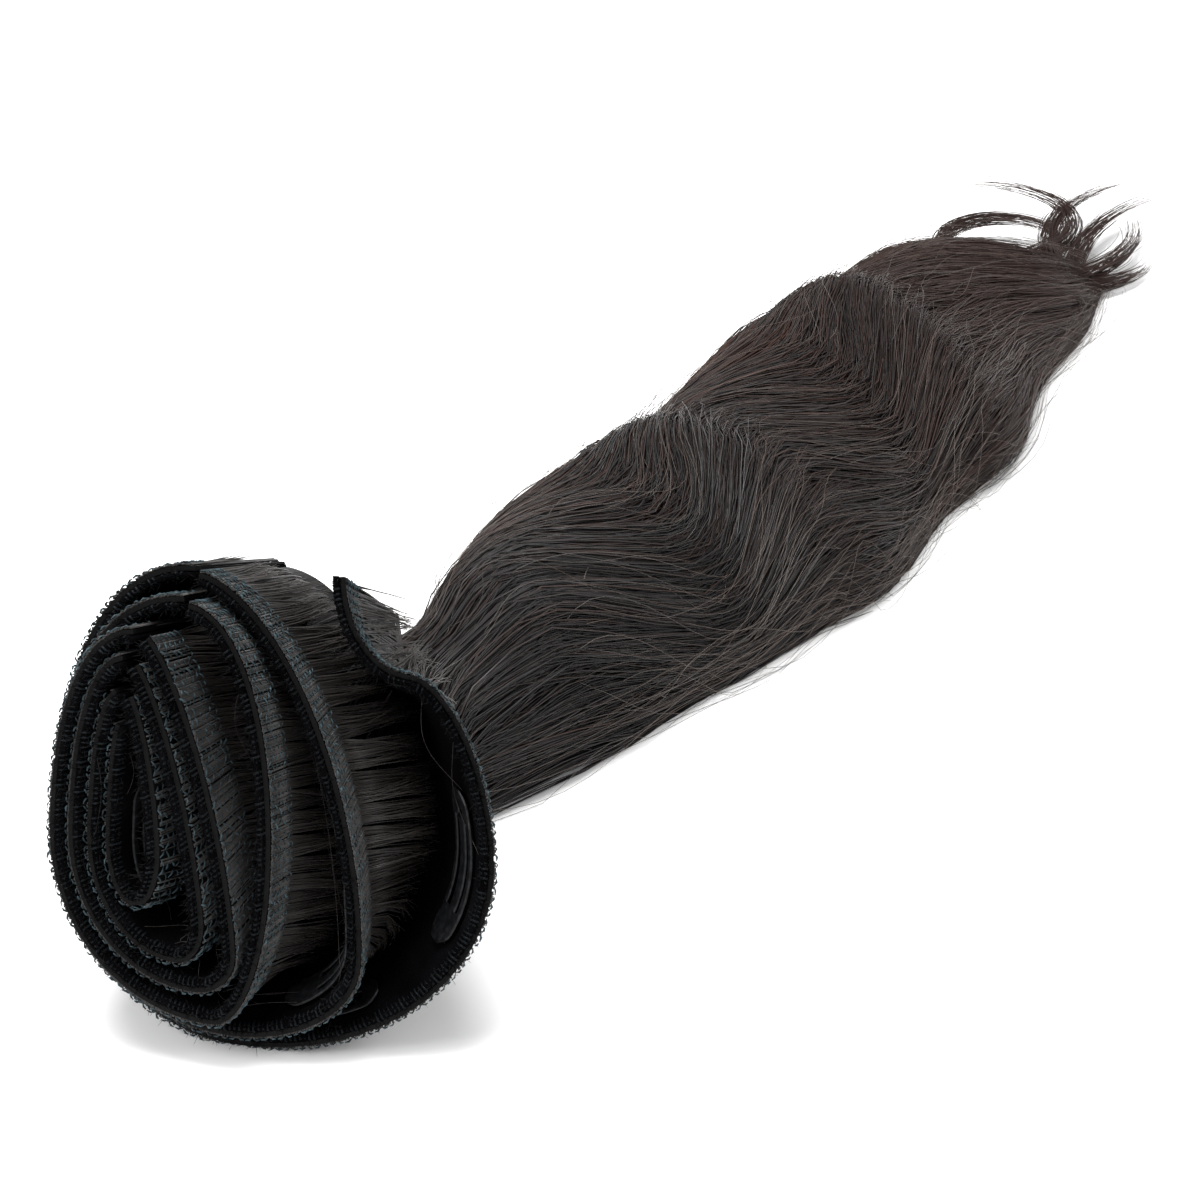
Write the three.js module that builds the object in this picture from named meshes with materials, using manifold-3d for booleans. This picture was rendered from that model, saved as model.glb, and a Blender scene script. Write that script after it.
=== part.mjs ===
// A full-head set of clip in hair extensions, rolled up and laid down.
// Six velvet ribbons are wound one inside the other into a flared roll. Each carries a machine
// weft on its outer side: a stitched track along the front edge, a fringe of short return hairs
// and the long hair, which runs to the rear. Snap clips sit on the inner sides of the ribbons.
// Behind the roll the long hair lies on the floor in one bundle with three waves and curled tips.
// Millimetres, +Z up, +X along the hair. The origin is on the roll's foot, on the floor.

import * as THREE from "three";
import { mergeVertices } from "three/addons/utils/BufferGeometryUtils.js";
import Module from "manifold-3d";

const wasm = await Module();
wasm.setup();

// The roll
const ROLL_RADIUS = 45; // half the width of the open face
const ROLL_TURN = 26.3; // degrees from +X to the roll's axis, seen from above
const ROLL_TILT = 20.8; // degrees that the axis drops towards the rear
const FOOT_SETBACK = 7.8; // from the front rim back to the origin, along the floor
const FOOT_SINK = 0.6; // how much of the outer turn is pressed flat where it lies
const END_GAP = 1.2; // each ribbon's end to the next ribbon's start

// The ribbons
const RIBBON_WIDTH = 33; // measured along the roll's axis
const RIBBON_WALL = 1.1;

// The wefts
const TRACK_WIDTH = 6;
const TRACK_RISE = 1.6;
const FRINGE_LENGTH = 16;
const FRINGE_THICKNESS = 0.45;
const FRINGE_ROOT = 7.5; // from the front edge to where a lifted fringe leaves the long hair
const FRINGE_OPEN = 1.5; // the lift from which it is open as far as that root
const FRINGE_NOTCH = 0.4; // how deep its tips are undercut where it lies flat
const FRINGE_SLIT = 0.05; // and how high
const SHORT_LOCK = 0.7; // share of the fringe length on every second lock
const LAYER_RISE = 1.1; // the long hair flat on the ribbon
const LAYER_AT_HUB = 2.2; // the long hair where the turns are gathered
const HUB_DEPTH = 60; // from the front plane to the plane where the bundle begins

// The clips
const CLIP_LENGTH = 34;
const CLIP_WIDTH = 7;
const CLIP_THICKNESS = 0.8;
const CLIP_SETBACK = 2.5; // from the ribbon's front edge to the clip
const CLIP_NOSE = 4; // length over which each end narrows
const CLIP_TIP = 3.2; // its width at both ends

// The loose hair
const HAIR_LENGTH = 352; // from the hub's middle to the end of the bundle
const HAIR_WIDTH = 84; // widest spread on the floor
const HAIR_HEIGHT = 38; // top of the first ridge
const LOCK_DEPTH = 1.1; // valleys between the locks of the bundle
const WISP_RADIUS = 2.6;
const WISP_TAPER = 0.8; // how much of the radius is lost towards the tip

const MEASURE_STEPS = 600; // along a turn's front edge, where lengths are taken
const GAP = 0.3; // clearance between neighbouring pieces
const ROUND = 2; // the bow of a quarter of an ellipse
const FULL = 2.3; // the bow of the fuller upper left of each turn
const FACET_GAP = 0.3; // more room between turns, for the flats of their faces

// What follows from the sizes
const PITCH = RIBBON_WALL + TRACK_RISE + 2 * GAP + FACET_GAP;
const HUB_PITCH = LAYER_AT_HUB + GAP + FACET_GAP;
const tilt = THREE.MathUtils.degToRad(ROLL_TILT);
const turn = THREE.MathUtils.degToRad(ROLL_TURN);
const OUTER_FACE = GAP + TRACK_RISE;

// The floor's height in the roll's own frame, at a distance behind the front plane.
const floorAt = (depth) => depth * Math.tan(tilt);

// The front edges of the turns, from the middle outwards. Each turn starts at its top, runs down
// the right side, along the bottom and up the left side, and ends on the top of the next turn
// inside it. The shares are of the roll's radius: n points to the left of the open face and w up
// along it, lead is how far the edge stands forward, and rise lifts its bottom off the turn
// below. bow is 1 for a straight right side and 2 for a round one.
const TURNS = [
  { lead: 0.22, top: { n: 0.57, w: 1.51 }, right: { n: 0.42, w: 0.84 }, bottom: 0.49, rise: 0.22, bow: 1.4 },
  { lead: 0.22, top: { n: 0.55, w: 1.64 }, right: { n: 0.22, w: 0.56 }, bottom: 0.3, rise: 0.085, bow: 1.3 },
  { lead: 0.22, top: { n: 0.51, w: 1.75 }, right: { n: 0.08, w: 0.45 }, bottom: 0.22, rise: 0.05, bow: 1.35 },
  { lead: 0.22, top: { n: 0.34, w: 1.88 }, right: { n: -0.05, w: 0.8 }, bottom: 0.14, rise: 0, bow: 2.1 },
  { lead: 0.11, top: { n: 0.34, w: 1.99 }, right: { n: -0.42, w: 0.46 }, bottom: 0.1, rise: 0, bow: 1.7 },
  { lead: 0, top: { n: -0.55, w: 1.64 }, right: { n: -0.93, w: 0.87 }, bottom: 0.1, rise: 0, bow: 1.7 },
];
const STATIONS = [26, 30, 36, 40, 44, 54]; // steps along each turn
const OUTER = TURNS.length - 1;
const LEFT_N = 0.913;
const LEFT_W = 0.93;
const LEFT_LEAD_GAIN = 0.4; // how much wider the cone is for each millimetre of lead
const INNER_END_DROP = 1.5; // the innermost end below the start of its turn, in pitches

// The outer ring of ribbons at their rear edge and of the gathered hair at the hub, as shares of
// the roll's radius. start is where the outer turn begins and peel the size of its end's arc.
const REAR = {
  start: { n: -0.37, w: 1.41 },
  top: { n: 0.2, w: 2 },
  right: { n: -0.44, w: 0.94 },
  bottom: 0.1,
  left: { n: 0.62, w: 0.98 },
  peel: { n: 0.1, w: 0.36 },
};
const HUB = {
  start: { n: -0.19, w: 1.3 },
  top: { n: 0.1, w: 1.34 },
  right: { n: -0.38, w: 0.95 },
  bottom: 0.07,
  left: { n: 0.5, w: 0.95 },
  peel: { n: 0.05, w: 0.05 },
};

// The free end of the outer turn peels away in a quarter arc.
const PEEL_WIDTH = 14;
const PEEL_HEIGHT = 19;
const PEEL_START = -0.25; // the t where that arc begins

// How far each turn's fringe stands off its right side, as a share of the roll's radius, and at
// which share of the turn it lies flat again.
const FRINGE_LIFTS = [
  { most: 0, until: 0.3 },
  { most: 0, until: 0.3 },
  { most: 0.06, until: 0.24 },
  { most: 0, until: 0.38 },
  { most: 0.14, until: 0.5 },
  { most: 0.14, until: 0.15 },
];

// The snap clips: which turn each is sewn to and where its middle is along that turn.
const CLIPS = [
  { turn: 5, at: 0.27 },
  { turn: 5, at: 0.47 },
  { turn: 4, at: 0.2 },
  { turn: 4, at: 0.38 },
  { turn: 3, at: 0.28 },
  { turn: 2, at: 0.27 },
  { turn: 1, at: 0.33 },
  { turn: 0, at: 0.62 },
];

// The ring of a turn's front edge by its four extremes and the next turn's top.
function frontRing(index) {
  const inset = (OUTER - index) * PITCH;
  const row = TURNS[index];
  const lead = row.lead * ROLL_RADIUS;
  const left = LEFT_N * ROLL_RADIUS + LEFT_LEAD_GAIN * lead - inset;
  const bottomW = OUTER_FACE - FOOT_SINK + inset + row.rise * ROLL_RADIUS;
  const next = TURNS[index - 1]?.top;
  const innerEnd = [left - PITCH / 2, row.top.w * ROLL_RADIUS - INNER_END_DROP * PITCH];
  return {
    depth: -lead,
    top: [row.top.n * ROLL_RADIUS, row.top.w * ROLL_RADIUS],
    right: [row.right.n * ROLL_RADIUS, row.right.w * ROLL_RADIUS],
    bottom: [row.bottom * ROLL_RADIUS, bottomW],
    left: [left, LEFT_W * ROLL_RADIUS],
    end: next ? [next.n * ROLL_RADIUS, next.w * ROLL_RADIUS] : innerEnd,
    bow: row.bow,
    peel: [PEEL_WIDTH, PEEL_HEIGHT],
  };
}

// The ring of a turn further back: base is the outer one and step the room that each turn takes.
function backRing(index, base, step, depth, floorDepth, face) {
  const inset = (OUTER - index) * step;
  const topN = base.top.n * ROLL_RADIUS;
  const topW = base.top.w * ROLL_RADIUS - inset;
  const start = [base.start.n * ROLL_RADIUS, base.start.w * ROLL_RADIUS];
  return {
    depth,
    top: index === OUTER ? start : [topN, topW],
    right: [base.right.n * ROLL_RADIUS + inset, base.right.w * ROLL_RADIUS],
    bottom: [base.bottom * ROLL_RADIUS, floorAt(floorDepth) + face - FOOT_SINK + inset],
    left: [base.left.n * ROLL_RADIUS - inset, base.left.w * ROLL_RADIUS],
    end: [index > 0 ? topN : topN - step, topW - step],
    bow: ROUND,
    peel: [base.peel.n * ROLL_RADIUS, base.peel.w * ROLL_RADIUS],
  };
}

// The three rings of a turn: its front edge, its ribbon's rear edge and the hub.
function rings(index) {
  const rearDepth = RIBBON_WIDTH - TURNS[index].lead * ROLL_RADIUS;
  return [
    frontRing(index),
    backRing(index, REAR, PITCH, rearDepth, RIBBON_WIDTH, GAP + LAYER_RISE),
    backRing(index, HUB, HUB_PITCH, HUB_DEPTH, HUB_DEPTH, LAYER_AT_HUB),
  ];
}

// A quarter of a superellipse: level at one end and upright at the other.
function quarter(level, upright, share, bow) {
  const angle = (share * Math.PI) / 2;
  const power = 2 / bow;
  return [
    level[0] + (upright[0] - level[0]) * Math.sin(angle) ** power,
    upright[1] + (level[1] - upright[1]) * Math.cos(angle) ** power,
  ];
}

// A point of a ring at t from 0, the start at the top, to 1, the end. Below 0 it is on the peel.
function ringPoint(r, t) {
  if (t < 0) {
    const angle = -t * Math.PI * 2;
    return [r.top[0] + r.peel[0] * Math.sin(angle), r.top[1] + r.peel[1] * (1 - Math.cos(angle))];
  }
  if (t <= 0.25) return quarter(r.top, r.right, t * 4, r.bow);
  if (t <= 0.5) return quarter(r.bottom, r.right, 2 - t * 4, ROUND);
  if (t <= 0.75) return quarter(r.bottom, r.left, t * 4 - 2, ROUND);
  return quarter(r.end, r.left, 4 - t * 4, FULL);
}

// The outward normal of a ring at t.
function ringNormal(r, t) {
  const step = 0.01;
  const [n0, w0] = ringPoint(r, t - step < 0 && t >= 0 ? t : t - step);
  const [n1, w1] = ringPoint(r, Math.min(t + step, 1));
  const length = Math.hypot(n1 - n0, w1 - w0);
  return [(w1 - w0) / length, -(n1 - n0) / length];
}

// The front edge of a turn in short steps: t at each and the length so far.
function measure(index) {
  const front = frontRing(index);
  const start = index === OUTER ? PEEL_START : 0;
  const ts = [start];
  const lengths = [0];
  let last = ringPoint(front, start);
  for (let i = 1; i <= MEASURE_STEPS; i++) {
    ts.push(start + ((1 - start) * i) / MEASURE_STEPS);
    const point = ringPoint(front, ts[i]);
    lengths.push(lengths[i - 1] + Math.hypot(point[0] - last[0], point[1] - last[1]));
    last = point;
  }
  return { ts, lengths, total: lengths[MEASURE_STEPS] };
}

// The t at which a rising list of values, one for each t, comes to the wanted one.
function reach(ts, values, wanted) {
  const found = values.findIndex((value) => value >= wanted);
  const after = found < 1 ? values.length - 1 : found;
  const share = (wanted - values[after - 1]) / (values[after] - values[after - 1]);
  return ts[after - 1] + (ts[after] - ts[after - 1]) * share;
}

// The stations along a turn: spaced half by the length of its front edge and half by t, so that
// neither the open face nor the tight hub gets long flats.
function stations(index) {
  const { ts, lengths, total } = measure(index);
  const progress = lengths.map((length, i) => (length / total + i / MEASURE_STEPS) / 2);
  const steps = STATIONS[index];
  const [from, to] = [END_GAP, total - END_GAP].map((length) => reach(progress, lengths, length));
  const list = [];
  for (let i = 0; i <= steps; i++) list.push(reach(ts, progress, from + ((to - from) * i) / steps));
  return list;
}

// A point of a turn: t along it, s back from its front edge, and offset outwards from the
// ribbon's outer face. Past the ribbon's rear edge it runs on to the hub.
function turnPoint(index, t, s, offset) {
  const [front, rear, hub] = rings(index);
  const beyond = s > RIBBON_WIDTH;
  const [from, to] = beyond ? [rear, hub] : [front, rear];
  const share = beyond ? (s - RIBBON_WIDTH) / (HUB_DEPTH - rear.depth) : s / RIBBON_WIDTH;
  const mix = (a, b) => a + (b - a) * share;
  const [pa, pb] = [ringPoint(from, t), ringPoint(to, t)];
  const [na, nb] = [ringNormal(from, t), ringNormal(to, t)];
  const depth = mix(from.depth, to.depth);
  const n = mix(pa[0], pb[0]) + mix(na[0], nb[0]) * offset;
  const w = mix(pa[1], pb[1]) + mix(na[1], nb[1]) * offset;
  return new THREE.Vector3(depth, n, Math.max(w, floorAt(depth)));
}

// A closed solid through a row of like sections, each a list of points in the same order. fill
// holds the triangles of an end, as numbers of points in the order that they run round it.
function loft(sections, fill) {
  const count = sections[0].length;
  const positions = sections.flat().flatMap((p) => [p.x, p.y, p.z]);
  const index = [];
  for (let i = 0; i + 1 < sections.length; i++)
    for (let j = 0; j < count; j++) {
      const [a, b] = [i * count + j, i * count + ((j + 1) % count)];
      index.push(a, b, b + count, a, b + count, a + count);
    }
  const last = (sections.length - 1) * count;
  for (const [a, b, c] of fill) index.push(a, c, b, last + a, last + b, last + c);
  const geometry = new THREE.BufferGeometry();
  geometry.setAttribute("position", new THREE.Float32BufferAttribute(positions, 3));
  geometry.setIndex(index);
  return faceOut(geometry);
}

// The triangles that fill a flat outline of [x, y] points.
function fillOutline(outline) {
  const flat = outline.map(([x, y]) => new THREE.Vector2(x, y));
  const turned = THREE.ShapeUtils.isClockWise(flat);
  return THREE.ShapeUtils.triangulateShape(flat, []).map(([a, b, c]) => (turned ? [a, c, b] : [a, b, c]));
}
const FOUR_CORNERS = [
  [0, 1, 2],
  [0, 2, 3],
];

// Turns a closed geometry's faces round if they point inwards.
function faceOut(geometry) {
  const p = geometry.getAttribute("position");
  const index = geometry.getIndex().array;
  const [a, b, c] = [new THREE.Vector3(), new THREE.Vector3(), new THREE.Vector3()];
  let volume = 0;
  for (let i = 0; i < index.length; i += 3) {
    a.fromBufferAttribute(p, index[i]);
    b.fromBufferAttribute(p, index[i + 1]);
    c.fromBufferAttribute(p, index[i + 2]);
    volume += a.dot(b.cross(c));
  }
  if (volume < 0)
    for (let i = 0; i < index.length; i += 3) [index[i + 1], index[i + 2]] = [index[i + 2], index[i + 1]];
  return geometry;
}

// A ribbon: a plain wall along its turn.
function ribbon(index) {
  const corners = [
    [0, 0],
    [RIBBON_WIDTH, 0],
    [RIBBON_WIDTH, -RIBBON_WALL],
    [0, -RIBBON_WALL],
  ];
  const sections = stations(index).map((t) => corners.map(([s, offset]) => turnPoint(index, t, s, offset)));
  return loft(sections, FOUR_CORNERS);
}

// How far the fringe stands off at t: most down the right side and on the peeled end.
function fringeLift(index, t) {
  const { most, until } = FRINGE_LIFTS[index];
  const share = Math.max(t, 0) / until;
  if (share >= 1) return 0;
  const swell = index === OUTER ? Math.cos((share * Math.PI) / 2) : Math.sin(share * Math.PI);
  return most * ROLL_RADIUS * swell ** 2;
}

// The end of a weft in triangles that each keep to one stretch of it, because the weft bends
// where the ribbon stops.
const WEFT_FILL = [
  [0, 1, 4],
  [1, 2, 3],
  [1, 3, 4],
  [0, 4, 5],
  [0, 5, 8],
  [0, 8, 9],
  [5, 6, 7],
  [5, 7, 8],
];

// A weft: the stitched track, the fringe in locks of two lengths, and the long hair to the hub.
// The fringe is one with the long hair where it lies flat, and opens from its tips as it lifts.
function weft(index) {
  const depthToHub = HUB_DEPTH + TURNS[index].lead * ROLL_RADIUS;
  const layer = GAP + LAYER_RISE;
  const opening = (tip, lift) => Math.max(FRINGE_NOTCH, (tip - FRINGE_ROOT) * Math.min(1, lift / FRINGE_OPEN));
  const profile = (tip, lift) => [
    [0, GAP],
    [RIBBON_WIDTH, GAP],
    [depthToHub, 0],
    [depthToHub, LAYER_AT_HUB],
    [RIBBON_WIDTH, layer],
    [tip - opening(tip, lift), layer],
    [tip, layer + FRINGE_SLIT + lift],
    [tip, layer + FRINGE_SLIT + lift + FRINGE_THICKNESS],
    [TRACK_WIDTH, GAP + TRACK_RISE],
    [0, GAP + TRACK_RISE],
  ];
  const sections = stations(index).map((t, i) => {
    const tip = TRACK_WIDTH + FRINGE_LENGTH * (i % 2 ? SHORT_LOCK : 1);
    return profile(tip, fringeLift(index, t)).map(([s, offset]) => turnPoint(index, t, s, offset));
  });
  return loft(sections, WEFT_FILL);
}

// A snap clip: a thin curved bar with narrowed ends, on the inner face of a ribbon.
function clip({ turn: index, at }) {
  const { ts, lengths, total } = measure(index);
  const nose = 1 - (2 * CLIP_NOSE) / CLIP_LENGTH;
  const stops = [-1, -nose, -0.5, -0.25, 0, 0.25, 0.5, nose, 1];
  const near = -RIBBON_WALL - GAP - FACET_GAP / 2;
  const corners = [
    [-0.5, 0],
    [0.5, 0],
    [0.5, 1],
    [-0.5, 1],
  ];
  const sections = stops.map((stop) => {
    const t = reach(ts, lengths, at * total + (stop * CLIP_LENGTH) / 2);
    const width = Math.abs(stop) === 1 ? CLIP_TIP : CLIP_WIDTH;
    const middle = CLIP_SETBACK + CLIP_WIDTH / 2;
    return corners.map(([x, y]) => turnPoint(index, t, middle + x * width, near - y * CLIP_THICKNESS));
  });
  return loft(sections, FOUR_CORNERS);
}

// The bundle's cross-sections, as shares: x of the hair's length from the hub, the near and far
// edges on the floor of its width, the height of its height, and skew, how far back the section
// leans for each millimetre towards the near side. The first ridge is at 0.4 and the second at 0.7.
const SECTIONS = [
  { x: 0.065, near: 0.17, far: 0.53, high: 0.98, skew: 0.3 },
  { x: 0.125, near: 0.11, far: 0.68, high: 0.95, skew: 0.25 },
  { x: 0.19, near: 0.08, far: 0.82, high: 0.92, skew: 0.2 },
  { x: 0.25, near: 0.06, far: 0.9, high: 0.9, skew: 0.17 },
  { x: 0.31, near: 0.02, far: 0.93, high: 0.92, skew: 0.16 },
  { x: 0.355, near: 0, far: 0.93, high: 0.97, skew: 0.16 },
  { x: 0.385, near: -0.02, far: 0.92, high: 1, skew: 0.16 },
  { x: 0.405, near: -0.04, far: 0.94, high: 0.88, skew: 0.2 },
  { x: 0.44, near: -0.06, far: 0.98, high: 0.8, skew: 0.24 },
  { x: 0.49, near: -0.04, far: 1.04, high: 0.76, skew: 0.28 },
  { x: 0.54, near: 0.01, far: 1.09, high: 0.76, skew: 0.34 },
  { x: 0.6, near: 0.06, far: 1.14, high: 0.8, skew: 0.4 },
  { x: 0.65, near: 0.05, far: 1.15, high: 0.85, skew: 0.45 },
  { x: 0.685, near: 0.04, far: 1.14, high: 0.88, skew: 0.48 },
  { x: 0.705, near: 0.05, far: 1.15, high: 0.76, skew: 0.46 },
  { x: 0.745, near: 0.1, far: 1.16, high: 0.68, skew: 0.4 },
  { x: 0.8, near: 0.23, far: 1.17, high: 0.64, skew: 0.3 },
  { x: 0.86, near: 0.3, far: 1.18, high: 0.58, skew: 0.2 },
  { x: 0.91, near: 0.34, far: 1.13, high: 0.5, skew: 0.1 },
  { x: 0.955, near: 0.42, far: 0.99, high: 0.38, skew: 0 },
  { x: 1, near: 0.48, far: 0.78, high: 0.2, skew: 0 },
];
const DOME_POINTS = 21; // along the upper side of a section
const FOOT_POINTS = 5; // between its ends along the floor
const LOCK_POINTS = [-1, 0.2, 0.6, 0.2]; // across one lock, as shares of the lock depth
const DOME_POWER = 2.3; // 2 would be a half ellipse
const ROOT_FOOT = 0.9; // half the angle of the root's flat foot, in radians
const ROOT_HEIGHT = 0.97; // of the hub's height
const FULL_RIBS = 20; // half width from which the valleys have their full depth

// The hub's plane and the middle of the gathered hair there, in the object's frame.
const rollFrame = new THREE.Matrix4().makeRotationFromEuler(new THREE.Euler(0, tilt, turn, "ZYX"));
rollFrame.setPosition(-FOOT_SETBACK * Math.cos(turn), -FOOT_SETBACK * Math.sin(turn), 0);
const hubRing = rings(OUTER)[2];
const hubTop = hubRing.top[1] + LAYER_AT_HUB;
const hubBottom = floorAt(HUB_DEPTH);
const hubN = (hubRing.right[0] + hubRing.left[0]) / 2;
const hubMiddle = new THREE.Vector3(HUB_DEPTH, hubN, (hubTop + hubBottom) / 2);
const hairRoot = hubMiddle.clone().applyMatrix4(rollFrame);

// The root of the bundle: a round face just behind the hub, of the same outline as the wefts.
function rootSection(depth) {
  const points = [];
  const halfN = (hubRing.left[0] - hubRing.right[0] + LAYER_AT_HUB) / 2;
  const halfW = ((hubTop - hubBottom) / 2) * ROOT_HEIGHT;
  const place = (angle) => {
    const w = hubMiddle.z + halfW * Math.sin(angle);
    const n = hubMiddle.y - halfN * Math.cos(angle);
    return new THREE.Vector3(depth, n, Math.max(w, floorAt(depth))).applyMatrix4(rollFrame);
  };
  const down = -Math.PI / 2;
  for (let j = 0; j < DOME_POINTS; j++)
    points.push(place(down + ROOT_FOOT + ((2 * Math.PI - 2 * ROOT_FOOT) * j) / (DOME_POINTS - 1)));
  for (let j = 0; j < FOOT_POINTS; j++)
    points.push(place(down - ROOT_FOOT + (2 * ROOT_FOOT * (j + 1)) / (FOOT_POINTS + 1)));
  return points.map((p) => new THREE.Vector3(p.x, p.y, Math.max(p.z, 0)));
}

// One cross-section of the bundle: a ribbed dome on a flat foot. Its edges are measured across
// from the roll's rim.
const hairOffset = FOOT_SETBACK * Math.sin(turn);
function bundleSection({ x, near, far, high, skew }) {
  const [yNear, yFar] = [near * HAIR_WIDTH, far * HAIR_WIDTH];
  const [middle, half, height] = [(yNear + yFar) / 2, (yFar - yNear) / 2, high * HAIR_HEIGHT];
  const power = 2 / DOME_POWER;
  const along = hairRoot.x + x * HAIR_LENGTH;
  const place = (y, z) => new THREE.Vector3(along + skew * (y - middle), y - hairOffset, z);
  const points = [];
  for (let j = 0; j < DOME_POINTS; j++) {
    const angle = (Math.PI * j) / (DOME_POINTS - 1);
    const rib = LOCK_POINTS[j % LOCK_POINTS.length] * LOCK_DEPTH * Math.min(1, half / FULL_RIBS);
    const across = -Math.sign(Math.cos(angle)) * Math.abs(Math.cos(angle)) ** power;
    const up = Math.sin(angle) ** power;
    const edge = j === 0 || j === DOME_POINTS - 1 ? 0 : rib;
    points.push(place(middle + across * (half + edge), Math.max(up * (height + edge), 0)));
  }
  for (let j = 0; j < FOOT_POINTS; j++)
    points.push(place(middle + half * (1 - (2 * (j + 1)) / (FOOT_POINTS + 1)), 0));
  return points;
}

// The curled wisps at the tips: where each leaves the bundle, its heading in degrees from +X,
// its length, how many degrees it turns on the way, and the heights of its start and end, as
// shares of the bundle's height.
const WISPS = [
  { x: 0.95, y: 0.57, heading: -39, length: 0.141, curl: 61, rise: 0.132, end: 0.0526 },
  { x: 0.95, y: 0.54, heading: -12, length: 0.23, curl: 55, rise: 0.184, end: 0.105 },
  { x: 0.955, y: 0.76, heading: -22, length: 0.3, curl: 171, rise: 0.211, end: 0.237 },
  { x: 0.96, y: 0.6, heading: 39, length: 0.265, curl: -65, rise: 0.237, end: 0.211 },
  { x: 0.96, y: 0.54, heading: 25, length: 0.257, curl: -44, rise: 0.158, end: 0.184 },
  { x: 0.93, y: 0.98, heading: 50, length: 0.24, curl: -230, rise: 0.211, end: 0.211 },
];
const WISP_STEPS = 11;
const WISP_SIDES = 6;

// A wisp: a tapered tube whose curl tightens towards its tip.
function wisp({ x, y, heading, length, curl, rise, end }) {
  const reach = length * HAIR_LENGTH;
  const place = new THREE.Vector2(hairRoot.x + x * HAIR_LENGTH, y * HAIR_WIDTH - hairOffset);
  const sections = [];
  for (let i = 0; i <= WISP_STEPS; i++) {
    const share = i / WISP_STEPS;
    const angle = THREE.MathUtils.degToRad(heading + curl * share ** 1.5);
    const radius = WISP_RADIUS * (1 - WISP_TAPER * share);
    const height = Math.max((rise + (end - rise) * share) * HAIR_HEIGHT, radius);
    const across = new THREE.Vector3(-Math.sin(angle), Math.cos(angle), 0);
    const ringPoints = [];
    for (let j = 0; j < WISP_SIDES; j++) {
      const around = (2 * Math.PI * j) / WISP_SIDES;
      const p = new THREE.Vector3(place.x, place.y, height);
      p.addScaledVector(across, radius * Math.cos(around));
      p.z = Math.max(p.z + radius * Math.sin(around), 0);
      ringPoints.push(p);
    }
    sections.push(ringPoints);
    place.add(new THREE.Vector2(Math.cos(angle), Math.sin(angle)).multiplyScalar(reach / WISP_STEPS));
  }
  const outline = sections[0].map((p, j) => {
    const around = (2 * Math.PI * j) / WISP_SIDES;
    return [Math.cos(around), Math.sin(around)];
  });
  return loft(sections, fillOutline(outline));
}

// A closed geometry as a manifold solid.
function solid(geometry) {
  const bare = geometry.clone();
  for (const name of Object.keys(bare.attributes)) if (name !== "position") bare.deleteAttribute(name);
  const merged = mergeVertices(bare, 1e-4);
  return new wasm.Manifold(
    new wasm.Mesh({
      numProp: 3,
      vertProperties: new Float32Array(merged.attributes.position.array),
      triVerts: new Uint32Array(merged.index.array),
    }),
  );
}

// The bundle and its wisps joined into one body.
function hair() {
  const sections = [rootSection(HUB_DEPTH + GAP), ...SECTIONS.map(bundleSection)];
  const body = loft(sections, fillOutline(sections[1].map((p) => [p.y, p.z])));
  let whole = solid(body);
  for (const row of WISPS) whole = whole.add(solid(wisp(row)));
  const made = whole.getMesh();
  const geometry = new THREE.BufferGeometry();
  geometry.setAttribute("position", new THREE.BufferAttribute(made.vertProperties, 3));
  geometry.setIndex(new THREE.BufferAttribute(made.triVerts, 1));
  return geometry;
}

function add(group, name, geometry, material) {
  const mesh = new THREE.Mesh(geometry, material);
  mesh.name = name;
  group.add(mesh);
}

const velvet = new THREE.MeshStandardMaterial({ color: 0x0b0b0d, roughness: 0.95, metalness: 0 });
const weftHair = new THREE.MeshStandardMaterial({ color: 0x1c1f22, roughness: 0.6, metalness: 0 });
const longHair = new THREE.MeshStandardMaterial({ color: 0x241f1e, roughness: 0.5, metalness: 0 });
const clipPaint = new THREE.MeshStandardMaterial({ color: 0x15171a, roughness: 0.35, metalness: 0.6 });

const roll = new THREE.Group();
roll.rotation.set(0, tilt, turn, "ZYX");
roll.position.setFromMatrixPosition(rollFrame);
TURNS.forEach((row, index) => {
  add(roll, `ribbon_${index + 1}`, ribbon(index), velvet);
  add(roll, `weft_${index + 1}`, weft(index), weftHair);
});
CLIPS.forEach((row, index) => add(roll, `clip_${index + 1}`, clip(row), clipPaint));

const extension = new THREE.Group();
extension.add(roll);
add(extension, "hair", hair(), longHair);

export default extension;
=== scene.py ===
import math

import bmesh
import bpy
import numpy as np
from mathutils import Matrix, Vector


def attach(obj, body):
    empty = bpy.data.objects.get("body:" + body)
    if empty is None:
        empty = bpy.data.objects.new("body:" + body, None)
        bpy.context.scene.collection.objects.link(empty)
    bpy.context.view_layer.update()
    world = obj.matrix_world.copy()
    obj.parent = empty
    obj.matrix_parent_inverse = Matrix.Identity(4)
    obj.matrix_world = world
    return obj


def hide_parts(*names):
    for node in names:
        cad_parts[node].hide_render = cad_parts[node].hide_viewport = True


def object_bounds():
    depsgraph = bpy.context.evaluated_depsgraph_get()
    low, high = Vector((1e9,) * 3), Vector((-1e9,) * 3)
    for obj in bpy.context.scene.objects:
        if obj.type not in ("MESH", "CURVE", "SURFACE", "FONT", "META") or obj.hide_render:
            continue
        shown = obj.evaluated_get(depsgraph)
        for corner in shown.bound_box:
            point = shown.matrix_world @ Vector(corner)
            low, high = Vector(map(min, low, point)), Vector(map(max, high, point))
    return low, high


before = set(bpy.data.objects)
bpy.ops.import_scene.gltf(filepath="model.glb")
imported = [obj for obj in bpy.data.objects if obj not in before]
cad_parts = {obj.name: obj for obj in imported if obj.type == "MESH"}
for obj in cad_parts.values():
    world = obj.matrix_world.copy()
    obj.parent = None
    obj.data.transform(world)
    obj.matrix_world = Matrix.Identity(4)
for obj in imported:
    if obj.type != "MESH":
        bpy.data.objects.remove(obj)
cad_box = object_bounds()
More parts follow.
